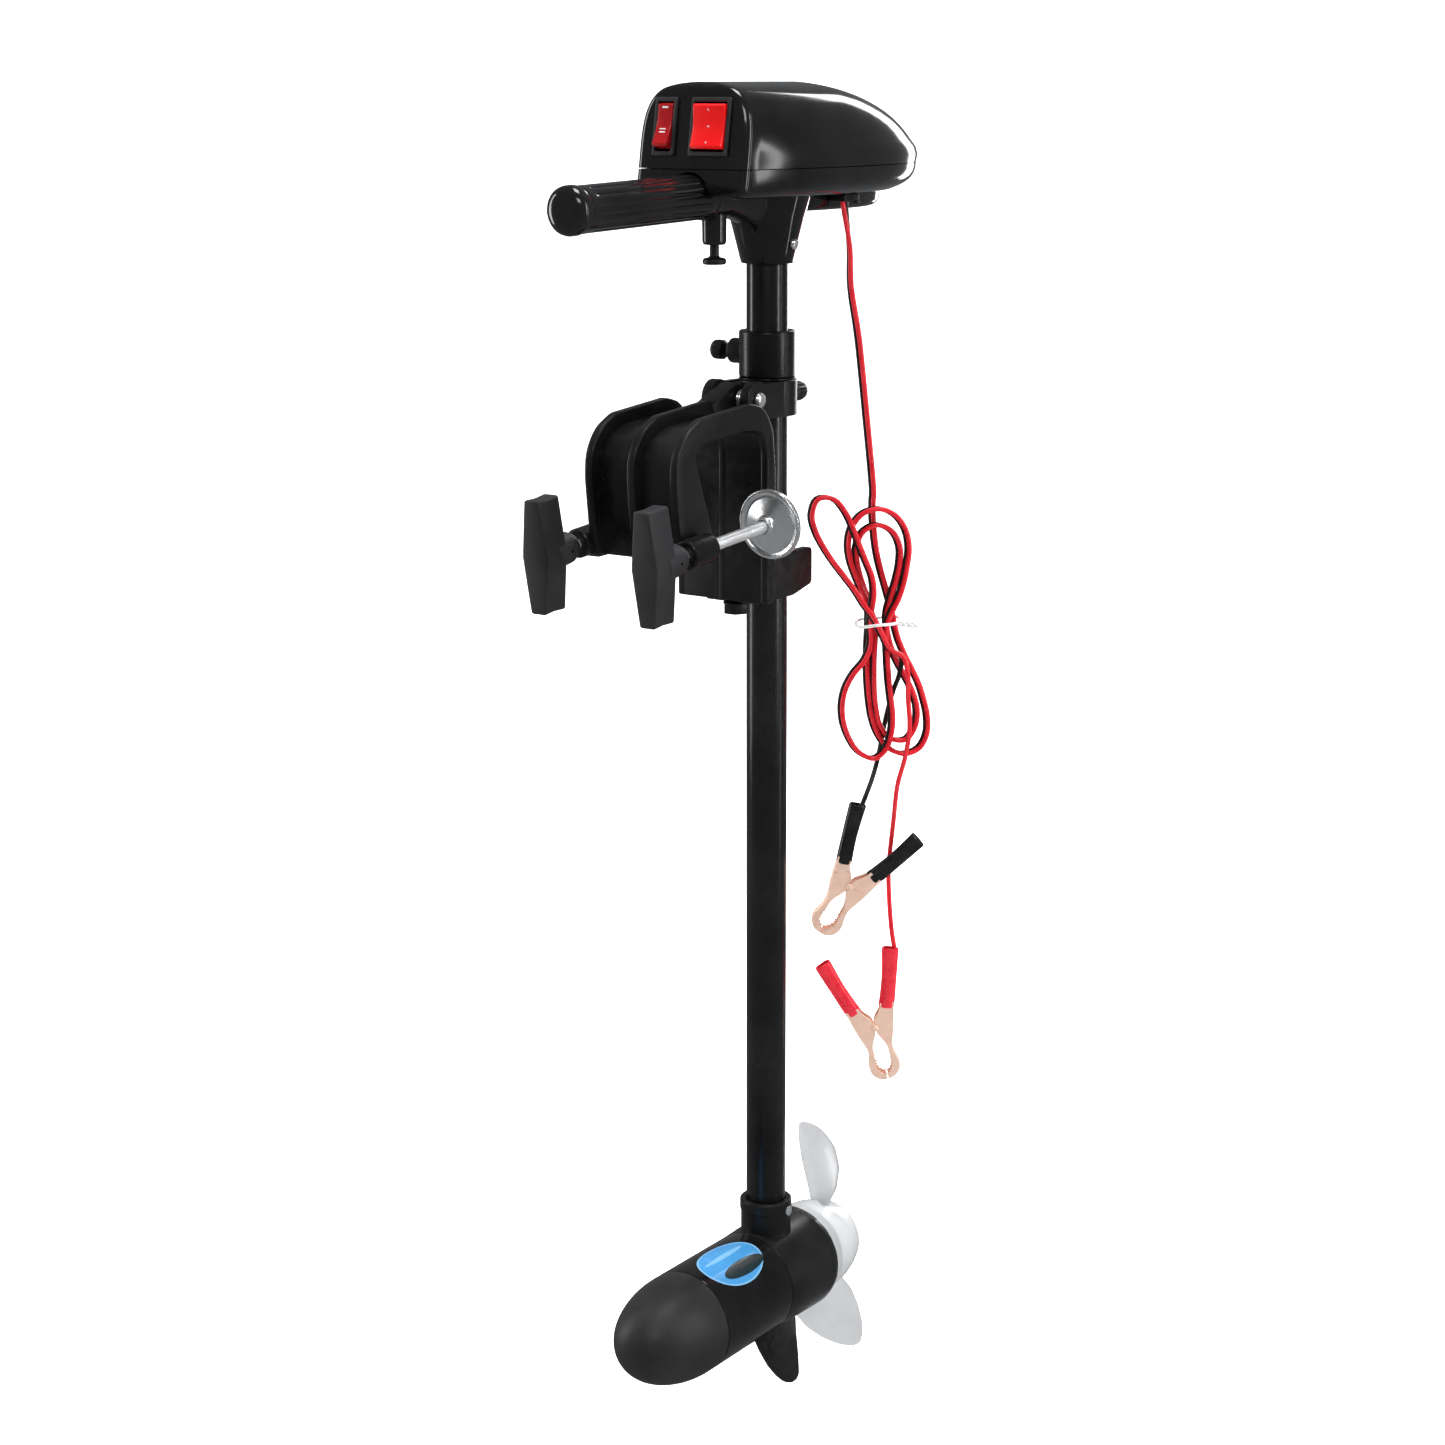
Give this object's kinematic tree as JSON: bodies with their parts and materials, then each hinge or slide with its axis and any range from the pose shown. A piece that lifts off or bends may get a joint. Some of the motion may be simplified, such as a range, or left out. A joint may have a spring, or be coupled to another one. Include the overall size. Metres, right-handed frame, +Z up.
{
  "type": "transom-mount electric trolling motor",
  "caption": "Transom-clamp electric trolling motor with tiller head, steering shaft, tilt bracket, submerged motor pod with propeller, and a coiled battery lead with clips.",
  "frame": {"origin": "centre of the clamp bracket's rear face, which rests against the boat's transom", "axes": "+Z up along the shaft, -Y into the boat (tiller side), +Y aft (propeller side), +X to the operator's left when facing aft"},
  "size_m": [0.1147, 0.327, 0.8038],
  "materials": {
    "gloss_black": "gloss",
    "satin_black": "satin",
    "black_nylon": "satin",
    "handle_grey": "matte",
    "zinc": "gloss",
    "steel": "satin",
    "copper": "satin",
    "winding": "satin",
    "brass": "satin",
    "ferrite": "matte",
    "red_switch": "gloss",
    "red_vinyl": "satin",
    "black_vinyl": "satin",
    "white_tie": "satin",
    "clear": "gloss",
    "seal_rubber": "matte",
    "acetal": "satin"
  },
  "bodies": {
    "mount_bracket": {"clamp_bracket": "satin_black", "shaft_saddle": "satin_black", "saddle_bolt": "satin_black", "hinge_pin": "zinc", "tilt_spring": "zinc"},
    "left_pad": {"left_clamp_pad": "zinc"},
    "left_screw": {"left_clamp_screw": "zinc", "left_t_handle": "handle_grey"},
    "right_pad": {"right_clamp_pad": "zinc"},
    "right_screw": {"right_clamp_screw": "zinc", "right_t_handle": "handle_grey"},
    "tilt_block": {"tilt_bracket": "satin_black", "steering_bush": "satin_black"},
    "tension": {"tension_knob": "black_nylon"},
    "collar": {"depth_collar": "black_nylon"},
    "collar_screw": {"collar_thumb_screw": "black_nylon"},
    "drive_unit": {"shaft_tube": "satin_black", "head_lower_shell": "gloss_black", "head_upper_shell": "gloss_black", "neck_screw": "zinc", "speed_switch_housing": "black_nylon", "direction_switch_housing": "black_nylon", "strain_relief": "black_nylon", "red_battery_lead": "red_vinyl", "black_battery_lead": "black_vinyl", "cable_tie": "white_tie", "motor_lead": "black_vinyl", "pull_pin_spring": "zinc", "motor_body": "gloss_black", "nose_cone": "satin_black", "rear_housing": "satin_black", "magnet_top": "ferrite", "magnet_bottom": "ferrite", "nose_bearing": "brass", "rear_bearing": "brass", "shaft_seal": "seal_rubber", "brush_holder": "acetal", "through_bolt_left": "steel", "through_bolt_right": "steel", "socket_screw": "zinc", "black_clip_fixed_jaw": "copper", "black_clip_fixed_boot": "black_vinyl", "black_clip_rivet": "steel", "red_clip_fixed_jaw": "copper", "red_clip_fixed_boot": "red_vinyl", "red_clip_rivet": "steel"},
    "rotor": {"armature": "winding", "commutator": "copper", "propeller": "clear", "prop_nut": "zinc", "drive_pin": "steel"},
    "tiller": {"tiller_tube": "steel", "tiller_grip": "gloss_black"},
    "pin": {"pull_pin": "black_nylon"},
    "speed_key": {"speed_rocker": "red_switch"},
    "direction_key": {"direction_rocker": "red_switch"},
    "black_clip_jaw": {"black_clip_moving_jaw": "copper", "black_clip_moving_boot": "black_vinyl"},
    "red_clip_jaw": {"red_clip_moving_jaw": "copper", "red_clip_moving_boot": "red_vinyl"}
  },
  "joints": [
    {"name": "left_pad_slide", "type": "slide", "parent": "mount_bracket", "child": "left_pad", "axis": [0, 0.9969, 0.0785], "range_m": [-0.0401, 0.0021]},
    {"name": "left_screw_turn", "type": "hinge", "parent": "left_pad", "child": "left_screw", "pos_m": [-0.0365, -0.005, -0.0127], "axis": [0, 0.9969, 0.0785], "range_deg": [-7200, 360]},
    {"name": "right_pad_slide", "type": "slide", "parent": "mount_bracket", "child": "right_pad", "axis": [0, 0.9969, 0.0785], "range_m": [-0.0401, 0.0021]},
    {"name": "right_screw_turn", "type": "hinge", "parent": "right_pad", "child": "right_screw", "pos_m": [0.0365, -0.005, -0.0127], "axis": [0, 0.9969, 0.0785], "range_deg": [-7200, 360]},
    {"name": "tilt", "type": "hinge", "parent": "mount_bracket", "child": "tilt_block", "pos_m": [0, 0.013, 0.0535], "axis": [1, 0, 0], "range_deg": [0, 70]},
    {"name": "tension_turn", "type": "hinge", "parent": "tilt_block", "child": "tension", "pos_m": [0, 0.072, 0.0522], "axis": [0, 1, 0], "range_deg": [-180, 180]},
    {"name": "steering", "type": "hinge", "parent": "tilt_block", "child": "collar", "pos_m": [0, 0.046, 0.077], "axis": [0, 0, 1], "range_deg": [-100, 100]},
    {"name": "collar_screw_turn", "type": "hinge", "parent": "collar", "child": "collar_screw", "pos_m": [-0.024, 0.046, 0.077], "axis": [1, 0, 0], "range_deg": [-180, 180]},
    {"name": "depth_slide", "type": "slide", "parent": "collar", "child": "drive_unit", "axis": [0, 0, 1], "range_m": [-0.03, 0.36]},
    {"name": "rotor_spin", "type": "hinge", "parent": "drive_unit", "child": "rotor", "pos_m": [0, 0.096, -0.4903], "axis": [0, 1, 0], "continuous": true},
    {"name": "tiller_slide", "type": "slide", "parent": "drive_unit", "child": "tiller", "axis": [0, -0.9996, -0.0279], "range_m": [0, 0.06]},
    {"name": "pull_pin_slide", "type": "slide", "parent": "drive_unit", "child": "pin", "axis": [0, 0, -1], "range_m": [0, 0.005], "stiffness_N_per_m": 600, "deforming": ["pull_pin_spring"]},
    {"name": "speed_switch", "type": "hinge", "parent": "drive_unit", "child": "speed_key", "pos_m": [-0.0176, -0.02548, 0.20427], "axis": [1, 0, 0], "range_deg": [0, 18]},
    {"name": "direction_switch", "type": "hinge", "parent": "drive_unit", "child": "direction_key", "pos_m": [0.012, -0.02548, 0.20427], "axis": [1, 0, 0], "range_deg": [-9, 9]},
    {"name": "black_clip_open", "type": "hinge", "parent": "drive_unit", "child": "black_clip_jaw", "pos_m": [0.01887, 0.10899, -0.253], "axis": [-0.5538, 0.8326, 0], "range_deg": [-25, 0]},
    {"name": "red_clip_open", "type": "hinge", "parent": "drive_unit", "child": "red_clip_jaw", "pos_m": [0.03286, 0.1183, -0.344], "axis": [-0.5538, 0.8326, 0], "range_deg": [0, 25]}
  ],
  "couplings": [
    {"joint": "left_pad_slide", "follows": "left_screw_turn", "m_per_rad": 0.00031831},
    {"joint": "right_pad_slide", "follows": "right_screw_turn", "m_per_rad": 0.00031831}
  ]
}
